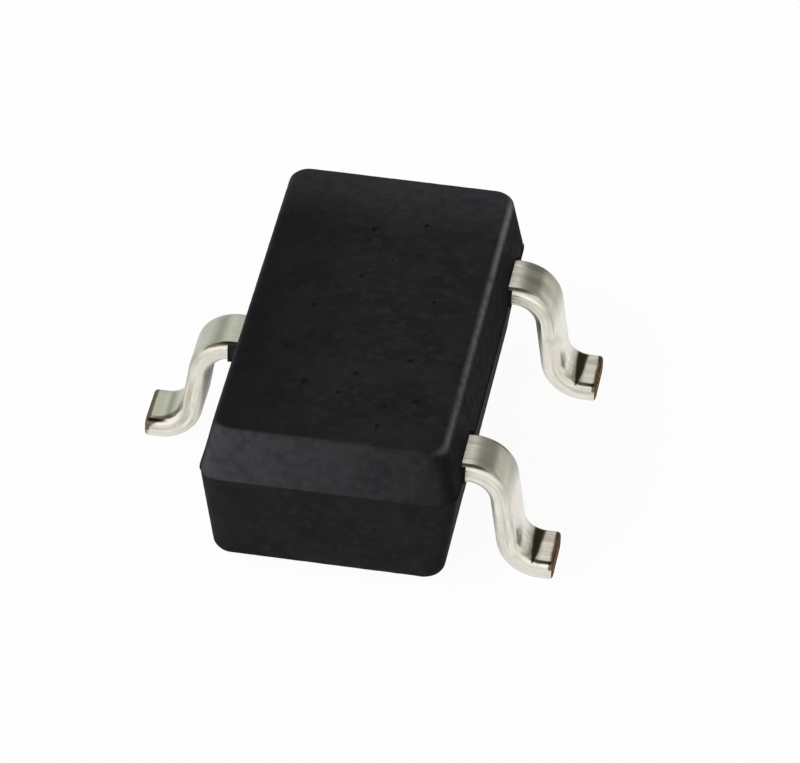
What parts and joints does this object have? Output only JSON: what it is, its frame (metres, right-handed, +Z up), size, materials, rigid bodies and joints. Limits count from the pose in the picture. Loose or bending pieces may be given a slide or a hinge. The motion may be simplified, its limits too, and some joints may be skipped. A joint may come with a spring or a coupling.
{
  "type": "surface-mount hall effect sensor",
  "caption": "Small black moulded surface-mount magnetic sensor with S-bent tinned leads for soldering on a circuit board.",
  "frame": {"origin": "middle of the footprint, on the plane that the three feet stand on", "axes": "+Z up out of the board, +Y along the moulding, +X towards the side with two leads"},
  "size_m": [0.0028, 0.003, 0.0012],
  "materials": {
    "moulding_resin": "matte black filled epoxy with a fine eroded-mould texture",
    "tinned_lead": "satin tin plate on copper alloy, bare copper at the cut ends of the feet",
    "silver_glue": "dull silver-filled epoxy",
    "silicon": "polished silicon with faint circuit colours",
    "gold_wire": "bright gold"
  },
  "bodies": {
    "root": {"package_body": "moulding_resin", "supply_lead": "tinned_lead", "output_lead": "tinned_lead", "ground_lead": "tinned_lead", "die_attach": "silver_glue", "hall_die": "silicon", "supply_bond_wire": "gold_wire", "output_bond_wire": "gold_wire", "ground_bond_wire": "gold_wire"}
  },
  "joints": []
}
